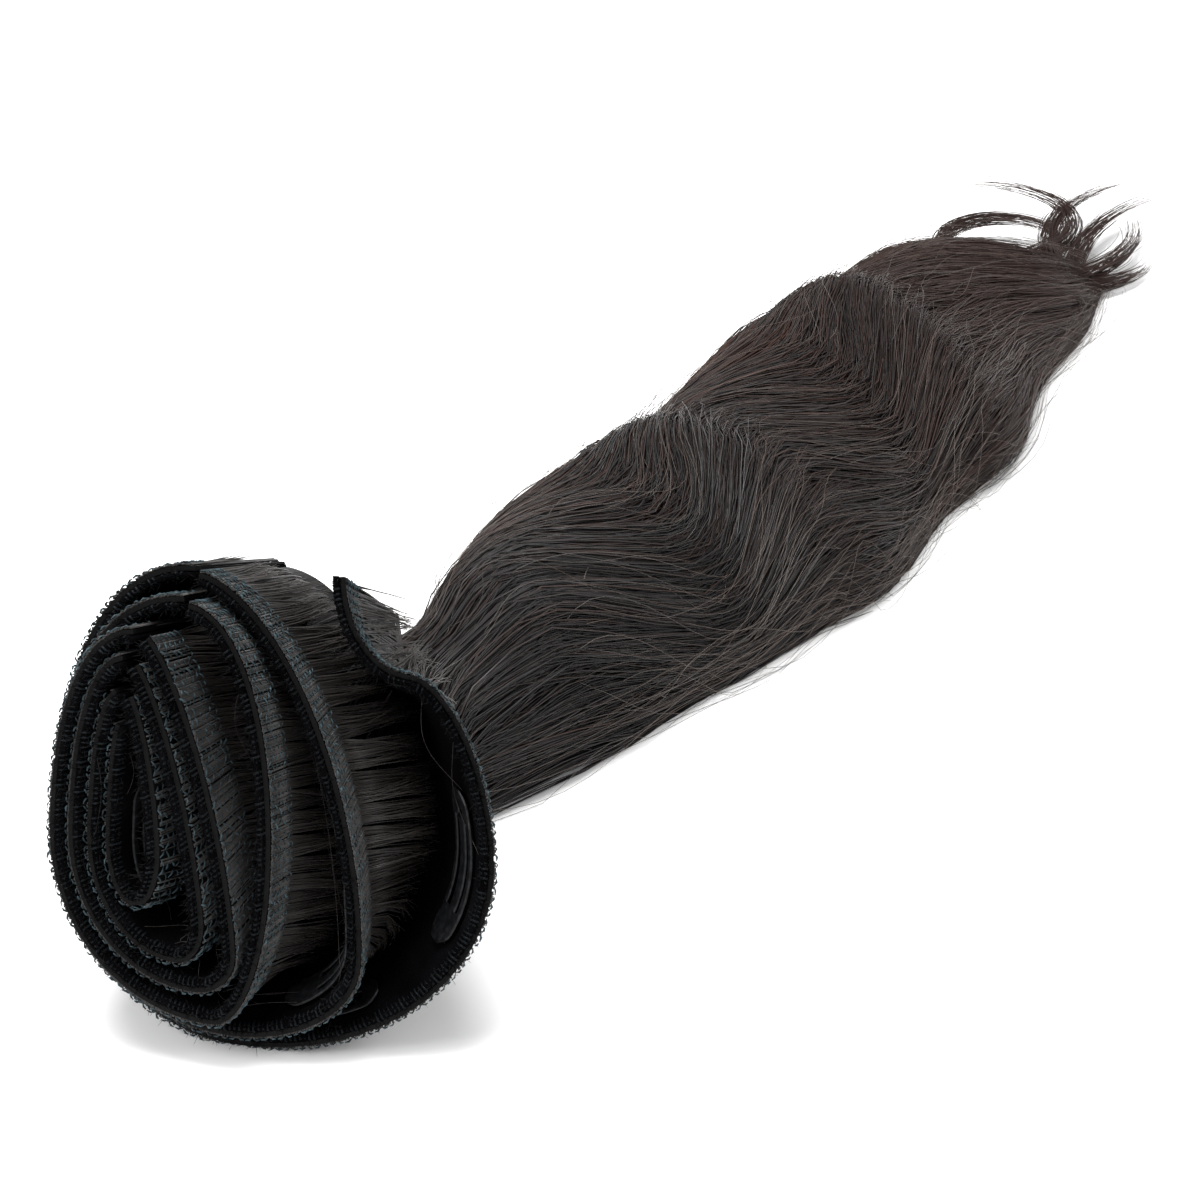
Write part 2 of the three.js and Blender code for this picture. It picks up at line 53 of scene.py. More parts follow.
bpy.ops.object.select_all(action="DESELECT")
MM = 0.001
chance = np.random.default_rng(41)


# The velvet ribbons. Six lengths of black velvet ribbon are wound one inside the other into a
# flared roll that lies on its side, and each is wider open at the front than at the rear.
# All of the roll's sizes are in millimetres, in the roll's own frame of depth, left and up.
ROLL_RADIUS = 45
ROLL_TURN = math.radians(26.3)
ROLL_TILT = math.radians(20.8)
FOOT_SETBACK = 7.8
FOOT_SINK = 0.6
END_GAP = 1.2
RIBBON_WIDTH = 33
RIBBON_WALL = 1.1
TRACK_RISE = 1.6
LAYER_RISE = 1.1
LAYER_AT_HUB = 2.2
HUB_DEPTH = 60
GAP = 0.3
PITCH = RIBBON_WALL + TRACK_RISE + 3 * GAP
HUB_PITCH = LAYER_AT_HUB + 2 * GAP
OUTER_FACE = GAP + TRACK_RISE
PEEL = (14, 19)
PEEL_START = -0.25
TURNS = [
    {"lead": 0.22, "top": (0.57, 1.51), "right": (0.42, 0.84), "bottom": 0.49, "rise": 0.22, "bow": 1.4},
    {"lead": 0.22, "top": (0.55, 1.64), "right": (0.22, 0.56), "bottom": 0.3, "rise": 0.085, "bow": 1.3},
    {"lead": 0.22, "top": (0.51, 1.75), "right": (0.08, 0.45), "bottom": 0.22, "rise": 0.05, "bow": 1.35},
    {"lead": 0.22, "top": (0.34, 1.88), "right": (-0.05, 0.8), "bottom": 0.14, "rise": 0, "bow": 2.1},
    {"lead": 0.11, "top": (0.34, 1.99), "right": (-0.42, 0.46), "bottom": 0.1, "rise": 0, "bow": 1.7},
    {"lead": 0, "top": (-0.55, 1.64), "right": (-0.93, 0.87), "bottom": 0.1, "rise": 0, "bow": 1.7},
]
OUTER = len(TURNS) - 1
LEFT_N = 0.913
LEFT_W = 0.93
LEFT_LEAD_GAIN = 0.4
INNER_END_DROP = 1.5
REAR = {"start": (-0.37, 1.41), "top": (0.2, 2), "right": (-0.44, 0.94), "bottom": 0.1, "left": (0.62, 0.98)}
HUB = {"start": (-0.19, 1.3), "top": (0.1, 1.34), "right": (-0.38, 0.95), "bottom": 0.07, "left": (0.5, 0.95)}
REAR_PEEL = (0.1, 0.36)
HUB_PEEL = (0.05, 0.05)


def floor_at(depth):
    return depth * math.tan(ROLL_TILT)


def of_radius(pair):
    return (pair[0] * ROLL_RADIUS, pair[1] * ROLL_RADIUS)


def front_ring(turn):
    row = TURNS[turn]
    inset = (OUTER - turn) * PITCH
    lead = row["lead"] * ROLL_RADIUS
    left = LEFT_N * ROLL_RADIUS + LEFT_LEAD_GAIN * lead - inset
    bottom_w = OUTER_FACE - FOOT_SINK + inset + row["rise"] * ROLL_RADIUS
    if turn > 0:
        end = of_radius(TURNS[turn - 1]["top"])
    else:
        end = (left - PITCH / 2, row["top"][1] * ROLL_RADIUS - INNER_END_DROP * PITCH)
    return {
        "depth": -lead,
        "top": of_radius(row["top"]),
        "right": of_radius(row["right"]),
        "bottom": (row["bottom"] * ROLL_RADIUS, bottom_w),
        "left": (left, LEFT_W * ROLL_RADIUS),
        "end": end,
        "bow": row["bow"],
        "peel": PEEL,
    }


def back_ring(turn, base, peel, step, depth, floor_depth, face):
    inset = (OUTER - turn) * step
    top_n = base["top"][0] * ROLL_RADIUS
    top_w = base["top"][1] * ROLL_RADIUS - inset
    return {
        "depth": depth,
        "top": of_radius(base["start"]) if turn == OUTER else (top_n, top_w),
        "right": (base["right"][0] * ROLL_RADIUS + inset, base["right"][1] * ROLL_RADIUS),
        "bottom": (base["bottom"] * ROLL_RADIUS, floor_at(floor_depth) + face - FOOT_SINK + inset),
        "left": (base["left"][0] * ROLL_RADIUS - inset, base["left"][1] * ROLL_RADIUS),
        "end": (top_n if turn > 0 else top_n - step, top_w - step),
        "bow": 2,
        "peel": of_radius(peel),
    }


def turn_rings(turn):
    rear_depth = RIBBON_WIDTH - TURNS[turn]["lead"] * ROLL_RADIUS
    return (
        front_ring(turn),
        back_ring(turn, REAR, REAR_PEEL, PITCH, rear_depth, RIBBON_WIDTH, GAP + LAYER_RISE),
        back_ring(turn, HUB, HUB_PEEL, HUB_PITCH, HUB_DEPTH, HUB_DEPTH, LAYER_AT_HUB),
    )


def quarter(level, upright, share, bow):
    angle = np.clip(share, 0, 1) * math.pi / 2
    power = 2 / bow
    n = level[0] + (upright[0] - level[0]) * np.sin(angle) ** power
    w = upright[1] + (level[1] - upright[1]) * np.maximum(np.cos(angle), 0) ** power
    return n, w


def ring_point(ring, t):
    round_peel = -np.minimum(t, 0) * 2 * math.pi
    peel = (
        ring["top"][0] + ring["peel"][0] * np.sin(round_peel),
        ring["top"][1] + ring["peel"][1] * (1 - np.cos(round_peel)),
    )
    parts = [
        peel,
        quarter(ring["top"], ring["right"], t * 4, ring["bow"]),
        quarter(ring["bottom"], ring["right"], 2 - t * 4, 2),
        quarter(ring["bottom"], ring["left"], t * 4 - 2, 2),
    ]
    last = quarter(ring["end"], ring["left"], 4 - t * 4, 2.3)
    where = [t < 0, t <= 0.25, t <= 0.5, t <= 0.75]
    across = np.select(where, [part[0] for part in parts], last[0])
    upward = np.select(where, [part[1] for part in parts], last[1])
    return across, upward


def ring_normal(ring, t):
    step = 0.01
    n0, w0 = ring_point(ring, np.where((t >= 0) & (t < step), t, t - step))
    n1, w1 = ring_point(ring, np.minimum(t + step, 1))
    length = np.hypot(n1 - n0, w1 - w0)
    return (w1 - w0) / length, -(n1 - n0) / length


def to_frame(depth, n, w):
    turned, tilted = (math.sin(ROLL_TURN), math.cos(ROLL_TURN)), (math.sin(ROLL_TILT), math.cos(ROLL_TILT))
    ahead = depth * tilted[1] + w * tilted[0] - FOOT_SETBACK
    x = ahead * turned[1] - n * turned[0]
    y = ahead * turned[0] + n * turned[1]
    return np.stack([x, y, w * tilted[1] - depth * tilted[0]], axis=-1) * MM


def on_turn(turn, t, s, offset):
    """Points of a turn: t along it, s back from its front edge, offset outwards from the ribbon."""
    t, s, offset = np.broadcast_arrays(np.asarray(t, float), np.asarray(s, float), np.asarray(offset, float))
    front, rear, hub = turn_rings(turn)
    beyond = s > RIBBON_WIDTH
    share = np.where(beyond, (s - RIBBON_WIDTH) / (HUB_DEPTH - rear["depth"]), s / RIBBON_WIDTH)
    spots = [ring_point(ring, t) + ring_normal(ring, t) for ring in (front, rear, hub)]
    first = [np.where(beyond, b, a) for a, b in zip(spots[0], spots[1])]
    second = [np.where(beyond, c, b) for b, c in zip(spots[1], spots[2])]
    n, w, out_n, out_w = [a + (b - a) * share for a, b in zip(first, second)]
    depth = np.where(
        beyond,
        rear["depth"] + (hub["depth"] - rear["depth"]) * share,
        front["depth"] + (rear["depth"] - front["depth"]) * share,
    )
    w = np.maximum(w + out_w * offset, depth * math.tan(ROLL_TILT))
    return to_frame(depth, n + out_n * offset, w)


def along_turn(turn, s=0):
    """The t values along a turn and the length in millimetres that each has come at s."""
    start = PEEL_START if turn == OUTER else 0
    t = np.linspace(start, 1, 1200)
    points = on_turn(turn, t, s, 0) / MM
    steps = np.linalg.norm(np.diff(points, axis=0), axis=1)
    return t, np.concatenate([[0], np.cumsum(steps)])


def stations(turn, spacing):
    t, lengths = along_turn(turn)
    wanted = np.linspace(END_GAP, lengths[-1] - END_GAP, int(lengths[-1] / spacing))
    return np.interp(wanted, lengths, t)


def add_mesh(name, points, faces, tones=None):
    """A named piece of the given points, kept just above the floor, and faces."""
    mesh = bpy.data.meshes.new(name)
    points = points.reshape(-1, 3) * 1.0
    points[:, 2] = np.maximum(points[:, 2], 0.02 * MM)
    mesh.from_pydata(points, [], faces)
    if tones is not None:
        layer = mesh.attributes.new("tone", "FLOAT_COLOR", "POINT")
        layer.data.foreach_set("color", tones.astype(np.float32).ravel())
    mesh.update()
    piece = bpy.data.objects.new(name, mesh)
    bpy.context.scene.collection.objects.link(piece)
    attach(piece, "root")
    return piece


def lofted(sections):
    """The faces of a closed body through rows of points, each row running round the body."""
    rows, count = sections.shape[:2]
    i, j = np.meshgrid(np.arange(rows - 1), np.arange(count), indexing="ij")
    a = i * count + j
    b = i * count + (j + 1) % count
    quads = np.stack([a, b, b + count, a + count], axis=-1).reshape(-1, 4).tolist()
    return quads + [list(range(count))[::-1], list(range((rows - 1) * count, rows * count))]


def face_out(piece):
    work = bmesh.new()
    work.from_mesh(piece.data)
    bmesh.ops.recalc_face_normals(work, faces=work.faces)
    work.to_mesh(piece.data)
    work.free()


def smooth(piece):
    piece.data.shade_smooth()


def new_material(name):
    material = bpy.data.materials.new(name)
    material.use_nodes = True
    nodes = material.node_tree.nodes
    return material, nodes, material.node_tree.links, nodes["Principled BSDF"]


def noise(nodes, links, scale, detail=3):
    place = nodes.new("ShaderNodeTexCoord")
    texture = nodes.new("ShaderNodeTexNoise")
    texture.inputs["Scale"].default_value = scale
    texture.inputs["Detail"].default_value = detail
    links.new(place.outputs["Object"], texture.inputs["Vector"])
    return texture


def ramp(nodes, links, source, stops):
    colours = nodes.new("ShaderNodeValToRGB")
    links.new(source, colours.inputs["Fac"])
    while len(colours.color_ramp.elements) < len(stops):
        colours.color_ramp.elements.new(0.5)
    for element, (place, colour) in zip(colours.color_ramp.elements, stops):
        element.position = place
        element.color = (*colour, 1)
    return colours.outputs["Color"]


def bump(nodes, links, surface, height, strength, distance):
    node = nodes.new("ShaderNodeBump")
    node.inputs["Strength"].default_value = strength
    node.inputs["Distance"].default_value = distance
    links.new(height, node.inputs["Height"])
    links.new(node.outputs["Normal"], surface.inputs["Normal"])


velvet, nodes, links, surface = new_material("black_velvet")
nap = noise(nodes, links, 90, 4)
pile = noise(nodes, links, 2600, 2)
nap_shades = [(0.35, (0.0006, 0.0006, 0.0008)), (0.7, (0.0028, 0.0028, 0.0034))]
black = ramp(nodes, links, nap.outputs["Fac"], nap_shades)
links.new(black, surface.inputs["Base Color"])
bump(nodes, links, surface, pile.outputs["Fac"], 0.8, 0.0006)
surface.inputs["Roughness"].default_value = 0.95
surface.inputs["Specular IOR Level"].default_value = 0.02

RIBBON_STEP = 1.8
RIBBON_ROWS = 15
for turn in range(len(TURNS)):
    t = stations(turn, RIBBON_STEP)
    back = np.linspace(0, RIBBON_WIDTH, RIBBON_ROWS)
    # The outer face from front to rear, the inner face back again, and the middle of the front edge.
    s = np.concatenate([back, back[::-1], [-0.18]])
    offset = np.repeat([0, -RIBBON_WALL, -RIBBON_WALL / 2], [RIBBON_ROWS, RIBBON_ROWS, 1])
    ripple = 0.09 * np.sin(t[:, None] * 61 + turn) * np.sin(s[None, :] / 9 + t[:, None] * 17)
    points = on_turn(turn, t[:, None], np.maximum(s[None, :], 0), offset[None, :] + ripple)
    ribbon = add_mesh(f"velvet_ribbon_{turn + 1}", points, lofted(points))
    face_out(ribbon)
    smooth(ribbon)
    ribbon.data.materials.append(velvet)
    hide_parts(f"ribbon_{turn + 1}")
    outer = points[:, :RIBBON_ROWS]
    wide = np.linalg.norm(np.diff(outer, axis=1), axis=2).sum(axis=1)
    long = np.linalg.norm(np.diff(outer, axis=0), axis=2).sum(axis=0)
    flat = (float(wide.max()), float(long.max()))


# The overlocked edge. A blue-black thread is wound over the front edge of each ribbon in close
# loops, and the pile of the cut velvet stands up through it as a short fuzz.
SIDES = 3


def tubes(paths, radii):
    """Closed three-sided tubes along rows of points, as points and faces."""
    count, steps = paths.shape[:2]
    ahead = np.gradient(paths, axis=1)
    ahead /= np.maximum(np.linalg.norm(ahead, axis=2, keepdims=True), 1e-12)
    side = np.cross(ahead, (0.3, 0.2, 1))
    side /= np.maximum(np.linalg.norm(side, axis=2, keepdims=True), 1e-9)
    other = np.cross(ahead, side)
    round_it = 2 * math.pi * np.arange(SIDES) / SIDES
    cos, sin = np.cos(round_it)[:, None], np.sin(round_it)[:, None]
    radii = np.broadcast_to(radii, (count, steps))
    points = paths[:, :, None] + radii[:, :, None, None] * (
        cos * side[:, :, None] + sin * other[:, :, None]
    )
    strand, step, corner = np.meshgrid(
        np.arange(count), np.arange(steps - 1), np.arange(SIDES), indexing="ij"
    )
    a = (strand * steps + step) * SIDES + corner
    b = (strand * steps + step) * SIDES + (corner + 1) % SIDES
    quads = np.stack([a, b, b + SIDES, a + SIDES], axis=-1).reshape(-1, 4).tolist()
    first = (np.arange(count) * steps * SIDES)[:, None] + np.arange(SIDES)[::-1]
    last = ((np.arange(count) + 1) * steps * SIDES - SIDES)[:, None] + np.arange(SIDES)
    return points, quads + first.tolist() + last.tolist()


def strand_tones(tone, steps, tint):
    """Red is each strand's own tone, green how far along it a point is, blue its tint."""
    count = len(tone)
    colours = np.ones((count, steps, SIDES, 4))
    colours[..., 0] = np.asarray(tone)[:, None, None]
    colours[..., 1] = np.linspace(0, 1, steps)[None, :, None]
    colours[..., 2] = np.broadcast_to(tint, (count,))[:, None, None]
    return colours


def add_strands(name, paths, radii, tone, material, tint=0):
    points, faces = tubes(paths, radii)
    piece = add_mesh(name, points, faces, strand_tones(tone, paths.shape[1], tint))
    smooth(piece)
    piece.data.materials.append(material)


strand_colour = bpy.data.node_groups.new("strand_colour", "ShaderNodeTree")
for socket in ("Root", "Light", "Tip"):
    strand_colour.interface.new_socket(socket, in_out="INPUT", socket_type="NodeSocketColor")
strand_colour.interface.new_socket("Colour", in_out="OUTPUT", socket_type="NodeSocketColor")
strand_colour.interface.new_socket("Gloss", in_out="OUTPUT", socket_type="NodeSocketFloat")
inner, wires = strand_colour.nodes, strand_colour.links
given, result = inner.new("NodeGroupInput"), inner.new("NodeGroupOutput")
tone_of = inner.new("ShaderNodeAttribute")
tone_of.attribute_name = "tone"
split = inner.new("ShaderNodeSeparateColor")
wires.new(tone_of.outputs["Color"], split.inputs["Color"])
by_tone = inner.new("ShaderNodeMix")
by_tone.data_type = "RGBA"
wires.new(split.outputs["Red"], by_tone.inputs["Factor"])
wires.new(given.outputs["Root"], by_tone.inputs["A"])
wires.new(given.outputs["Light"], by_tone.inputs["B"])
towards_tip = inner.new("ShaderNodeMath")
towards_tip.operation = "POWER"
towards_tip.inputs[1].default_value = 3
wires.new(split.outputs["Green"], towards_tip.inputs[0])
tinted = inner.new("ShaderNodeMath")
tinted.operation = "MULTIPLY_ADD"
tinted.use_clamp = True
wires.new(towards_tip.outputs["Value"], tinted.inputs[0])
tinted.inputs[1].default_value = 0.7
wires.new(split.outputs["Blue"], tinted.inputs[2])
by_tip = inner.new("ShaderNodeMix")
by_tip.data_type = "RGBA"
wires.new(tinted.outputs["Value"], by_tip.inputs["Factor"])
wires.new(by_tone.outputs["Result"], by_tip.inputs["A"])
wires.new(given.outputs["Tip"], by_tip.inputs["B"])
gloss = inner.new("ShaderNodeMapRange")
gloss.inputs["To Min"].default_value = 0.5
gloss.inputs["To Max"].default_value = 0.32
wires.new(split.outputs["Red"], gloss.inputs["Value"])
wires.new(by_tip.outputs["Result"], result.inputs["Colour"])
wires.new(gloss.outputs["Result"], result.inputs["Gloss"])


def strand_material(name, root, light, tip, specular=0.5):
    material, nodes, links, surface = new_material(name)
    group = nodes.new("ShaderNodeGroup")
    group.node_tree = strand_colour
    for socket, colour in (("Root", root), ("Light", light), ("Tip", tip)):
        group.inputs[socket].default_value = (*colour, 1)
    links.new(group.outputs["Colour"], surface.inputs["Base Color"])
    links.new(group.outputs["Gloss"], surface.inputs["Roughness"])
    surface.inputs["Specular IOR Level"].default_value = specular
    return material


edge_thread = strand_material(
    "edge_thread", (0.002, 0.0026, 0.003), (0.009, 0.012, 0.014), (0.009, 0.012, 0.014), 0.06
)
fuzz_fibre = strand_material(
    "velvet_fuzz", (0.001, 0.001, 0.0012), (0.006, 0.006, 0.007), (0.014, 0.014, 0.015), 0.05
)
LOOP_PITCH = 0.95
LOOP_STEPS = 5
FUZZ_PER_MM = 8
for turn in range(len(TURNS)):
    t, lengths = along_turn(turn)
    loops = int((lengths[-1] - 2 * END_GAP) / LOOP_PITCH)
    turns_round = np.linspace(0, loops, loops * LOOP_STEPS)
    at = np.interp(END_GAP + turns_round * LOOP_PITCH, lengths, t)
    angle = turns_round * 2 * math.pi
    wander = 1 + 0.3 * np.sin(turns_round * 1.7) * np.sin(turns_round * 0.43 + turn)
    s = 0.75 + 0.9 * wander * np.cos(angle)
    offset = -RIBBON_WALL / 2 + 0.7 * wander * np.sin(angle)
    front = on_turn(turn, at, np.maximum(s, 0), offset)
    ahead = on_turn(turn, at, 1, offset) - on_turn(turn, at, 0, offset)
    path = front + ahead * np.minimum(s, 0)[:, None]
    add_strands(f"edge_thread_{turn + 1}", path[None], 0.24 * MM, np.array([0.4]), edge_thread)
    spots = int(lengths[-1] * FUZZ_PER_MM)
    at = np.interp(chance.uniform(END_GAP, lengths[-1] - END_GAP, spots), lengths, t)
    angle = chance.uniform(0, 2 * math.pi, spots)
    reach = chance.uniform(0.3, 1.5, spots)
    s = 0.7 * (1 + np.cos(angle)) * 0.6
    offset = -RIBBON_WALL / 2 + 0.62 * np.sin(angle)
    root = on_turn(turn, at, s, offset)
    away = on_turn(turn, at, s + 1, -RIBBON_WALL / 2) - on_turn(turn, at, s, -RIBBON_WALL / 2)
    out = on_turn(turn, at, s, offset + np.sin(angle)) - root
    lean = chance.normal(0, 0.6, (spots, 3)) * MM
    tip = root + (out * np.abs(np.sin(angle))[:, None] * 0.7 - away * 0.8 + lean) * reach[:, None]
    paths = np.stack([root, tip], axis=1)
    width = np.array([0.08, 0.02]) * MM
    add_strands(f"velvet_fuzz_{turn + 1}", paths, width, chance.uniform(0, 1, spots), fuzz_fibre)


# The wefts. Each is a row of hair folded over a tape, sewn down in six rows of blue-grey
# stitches. The short folded ends stand out behind the track as a fringe, and the long ends run
# on to the rear, where all of the turns are gathered.
TRACK_WIDTH = 6
FRINGE_LENGTH = 16
CLUMP_WIDTH = 2.2
NEXT_TAPE = 2.2
OPEN_SPACE = 9.0
FRINGE_LIFTS = [(0.02, 0.4), (0.06, 0.5), (0.2, 0.5), (0.2, 0.5), (0.24, 0.5), (0.14, 0.15)]
FRINGE_PER_MM = [1.8, 2.4, 8, 9, 10, 3.4]
LAYER_PER_MM = [0.3, 0.3, 0.4, 0.6, 1.2, 2]
STITCH_ROWS = [(0.5, 1.5), (1.5, 1.8), (2.6, 1.7), (3.7, 1.8), (4.8, 1.7), (5.8, 1.5)]


def fringe_lift(turn, t):
    most, until = FRINGE_LIFTS[turn]
    share = np.clip(np.maximum(t, 0) / until, 0, 1)
    swell = np.cos(share * math.pi / 2) if turn == OUTER else np.sin(share * math.pi)
    return most * ROLL_RADIUS * swell**2


weft_body = strand_material(
    "weft_hair_body", (0.0016, 0.0016, 0.0018), (0.003, 0.003, 0.003), (0.002, 0.002, 0.002), 0.1
)
fringe_hair = strand_material(
    "fringe_hair", (0.004, 0.0037, 0.0036), (0.036, 0.032, 0.03), (0.05, 0.042, 0.037), 0.5
)
stitch_thread = strand_material(
    "stitch_thread", (0.006, 0.0125, 0.0155), (0.04, 0.068, 0.08), (0.04, 0.068, 0.08), 0.25
)


def room_outside(turn, t):
    """How far a turn's fringe can stand off before it meets the next ribbon, in millimetres."""
    if turn == OUTER:
        return np.full(t.shape, OPEN_SPACE)
    spots = np.linspace(0, 1, 60)
    here = on_turn(turn, spots, FRINGE_LENGTH, 0)
    next_starts = PEEL_START if turn + 1 == OUTER else 0
    there = on_turn(turn + 1, np.linspace(next_starts, 1, 400), FRINGE_LENGTH, -RIBBON_WALL)
    nearest = np.linalg.norm(here[:, None] - there[None], axis=2).min(axis=1) / MM
    return np.maximum(np.interp(t, spots, nearest) - NEXT_TAPE, 0)


for turn in range(len(TURNS)):
    t = stations(turn, 1.6)
    depth_to_hub = HUB_DEPTH + TURNS[turn]["lead"] * ROLL_RADIUS
    outward = [0.4, 10, 20, RIBBON_WIDTH, 46, depth_to_hub]
    back = [depth_to_hub, 46, RIBBON_WIDTH, 20, 10, 6.4, 5.8, 0.4]
    s = np.array(outward + back)
    offset = np.array([0.25, 0.25, 0.25, 0.25, 0.1, 0, 1.6, 1, 0.7, 0.7, 0.75, 0.8, 1.15, 1.15])
    points = on_turn(turn, t[:, None], s[None, :], offset[None, :])
    body = add_mesh(f"weft_tape_{turn + 1}", points, lofted(points), np.full((points.size // 3, 4), 0.2))
    face_out(body)
    body.data.materials.append(weft_body)
    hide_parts(f"weft_{turn + 1}")

    # The fringe, in small clumps that fan out towards their tips.
    t_all, lengths = along_turn(turn)
    count = int(lengths[-1] * FRINGE_PER_MM[turn])
    run = np.sort(chance.uniform(END_GAP, lengths[-1] - END_GAP, count))
    clump = np.floor(run / CLUMP_WIDTH).astype(int)
    clumps = clump.max() + 2
    clump_lean = chance.normal(0, 1.6, clumps)[clump]
    clump_long = chance.uniform(0.72, 1.08, clumps)[clump]
    clump_rise = chance.uniform(0.3, 1.5, clumps)[clump]
    share = np.array([0, 0.25, 0.5, 0.75, 1])[None, :]
    reach = (FRINGE_LENGTH * clump_long * chance.uniform(0.8, 1.05, count))[:, None]
    s = 0.5 + (TRACK_WIDTH - 0.5) * np.minimum(share / 0.25, 1) + reach * np.maximum(share - 0.25, 0) / 0.75
    loose = np.maximum(share - 0.22, 0) / 0.78
    middle_of_clump = (clump + 0.5) * CLUMP_WIDTH
    drawn_in = (middle_of_clump - run)[:, None] * 0.55 * loose
    start_t = np.interp(run, lengths, t_all)[:, None]
    climb = (REAR["right"][1] - TURNS[turn]["right"][1]) * ROLL_RADIUS * reach / RIBBON_WIDTH
    swept = 1.15 * climb * np.sin(math.pi * np.clip(start_t / 0.5, 0, 1)) * loose
    sideways = (clump_lean[:, None] + chance.normal(0, 0.9, (count, 1))) * loose**1.6 + drawn_in + swept
    at = np.interp(np.clip(run[:, None] + sideways, END_GAP, lengths[-1] - END_GAP), lengths, t_all)
    room = room_outside(turn, at)
    lift = np.minimum(fringe_lift(turn, at), 0.8 * room)
    stand = np.minimum((clump_rise * chance.uniform(0, 1.4, count))[:, None], 0.35 * room) * loose**1.3
    offset = 1.3 + chance.uniform(0, 0.25, (count, 1)) + np.minimum(stand + lift * loose**1.1, room)
    paths = on_turn(turn, at, s, offset)
    stray = chance.normal(0, 0.35, (count, 1, 3)) * (loose**2)[..., None] * MM
    paths += stray * np.minimum(room, 1)[..., None]
    width = chance.uniform(0.12, 0.26, (count, 1)) * (1 - 0.8 * share**2) * MM
    clump_tone = chance.normal(0.35, 0.16, clumps)[clump]
    tone = np.clip(clump_tone + chance.normal(0, 0.22, count), 0, 1)
    tint = chance.uniform(0, 0.3, count)
    add_strands(f"fringe_{turn + 1}", paths, width, tone, fringe_hair, tint=tint)

    # The long hair on its way to the rear.
    count = int(lengths[-1] * LAYER_PER_MM[turn])
    run = chance.uniform(END_GAP, lengths[-1] - END_GAP, count)
    share = np.linspace(0, 1, 7)[None, :]
    s = 5 + (depth_to_hub - 4.6) * share
    weave = chance.normal(0, 1.4, (count, 1)) * np.sin(share * chance.uniform(2, 5, (count, 1)))
    at = np.interp(np.clip(run[:, None] + weave, END_GAP, lengths[-1] - END_GAP), lengths, t_all)
    past_ribbon = np.maximum(s - RIBBON_WIDTH, 0) / (HUB_DEPTH - RIBBON_WIDTH)
    offset = 0.9 + chance.uniform(0, 0.35, (count, 1)) + 1.3 * past_ribbon
    paths = on_turn(turn, at, s, offset)
    width = chance.uniform(0.22, 0.34, (count, 1)) * np.ones(share.shape) * MM
    tone = np.clip(chance.normal(0.3, 0.2, count), 0, 1)
    add_strands(f"weft_layer_{turn + 1}", paths, width, tone, fringe_hair)

    # The stitches: slanted in turn to the left and the right, like the legs of a zigzag.
    legs = []
    for row_s, pitch in STITCH_ROWS:
        count = int((lengths[-1] - 2 * END_GAP) / pitch)
        run = END_GAP + (np.arange(count) + 0.5) * pitch
        lean = np.where(np.arange(count) % 2 == 0, 0.3, -0.3) + chance.normal(0, 0.12, count)
        share = np.array([-1, 0, 1])[None, :]
        at = np.interp(run[:, None] + share * pitch * chance.uniform(0.3, 0.48, (count, 1)), lengths, t_all)
        arch = 1.6 + 0.2 * (1 - share**2) + chance.uniform(-0.08, 0.08, (count, 1))
        legs.append(on_turn(turn, at, row_s + lean[:, None] * share, arch))
    legs = np.concatenate(legs)
    width = np.array([0.12, 0.25, 0.12]) * chance.uniform(0.7, 1.2, (len(legs), 1)) * MM
    tone = np.clip(chance.normal(0.35, 0.3, len(legs)), 0, 1)
    add_strands(f"stitches_{turn + 1}", legs, width, tone, stitch_thread)


# The loose hairs in the roll. Single hairs have worked out of the wefts, and each arches along
# the inner side of a turn, near its front edge.
LOOSE_IN_ROLL = 60
loose_hair = strand_material(
    "loose_hair", (0.006, 0.0056, 0.0056), (0.035, 0.031, 0.029), (0.04, 0.03, 0.026), 0.35
)
share = np.linspace(0, 1, 24)
arch = np.sin(math.pi * share)
paths = []
for _ in range(LOOSE_IN_ROLL):
    turn = int(chance.integers(1, OUTER + 1))
    t_from = chance.uniform(0.04, 0.8)
    t = np.clip(t_from + chance.uniform(0.04, 0.2) * share, 0, 1)
    s = chance.uniform(0.5, 9) + chance.uniform(-3, 5) * arch
    sag = chance.uniform(1, 5.5) * arch
    path = on_turn(turn, t, np.maximum(s, 0), -1.3 - sag)
    paths.append(path)
add_strands("loose_hairs_in_roll", np.stack(paths), np.array(0.05 * MM), chance.uniform(0, 1, LOOSE_IN_ROLL),
            loose_hair, tint=chance.uniform(0, 0.4, LOOSE_IN_ROLL))


# The snap clips. Each is a thin steel blade with a slot on both sides of its tongue, narrowed
# at both ends, painted dark and sewn to the inner side of a ribbon along its front edge.
CLIP_LENGTH = 34
CLIP_WIDTH = 7
CLIP_THICKNESS = 0.8
CLIP_SETBACK = 2.5
CLIP_NOSE = 4
CLIP_NARROWING = 0.62
CLIP_BULGE = 0.25
STEEL = 0.5
TONGUE_HALF = 1
SLOT_EDGE = 2.2
SLOT_ENDS = (-11, 9)
HOLE_END = -13.5
CLIPS = [(5, 0.27), (5, 0.47), (4, 0.2), (4, 0.38), (3, 0.28), (2, 0.27), (1, 0.33), (0, 0.62)]

clip_paint, nodes, links, surface = new_material("clip_paint")
wear = noise(nodes, links, 900, 3)
links.new(
    ramp(nodes, links, wear.outputs["Fac"], [(0.4, (0.003, 0.0033, 0.004)), (0.75, (0.02, 0.021, 0.024))]),
    surface.inputs["Base Color"],
)
surface.inputs["Metallic"].default_value = 0.6
surface.inputs["Roughness"].default_value = 0.42

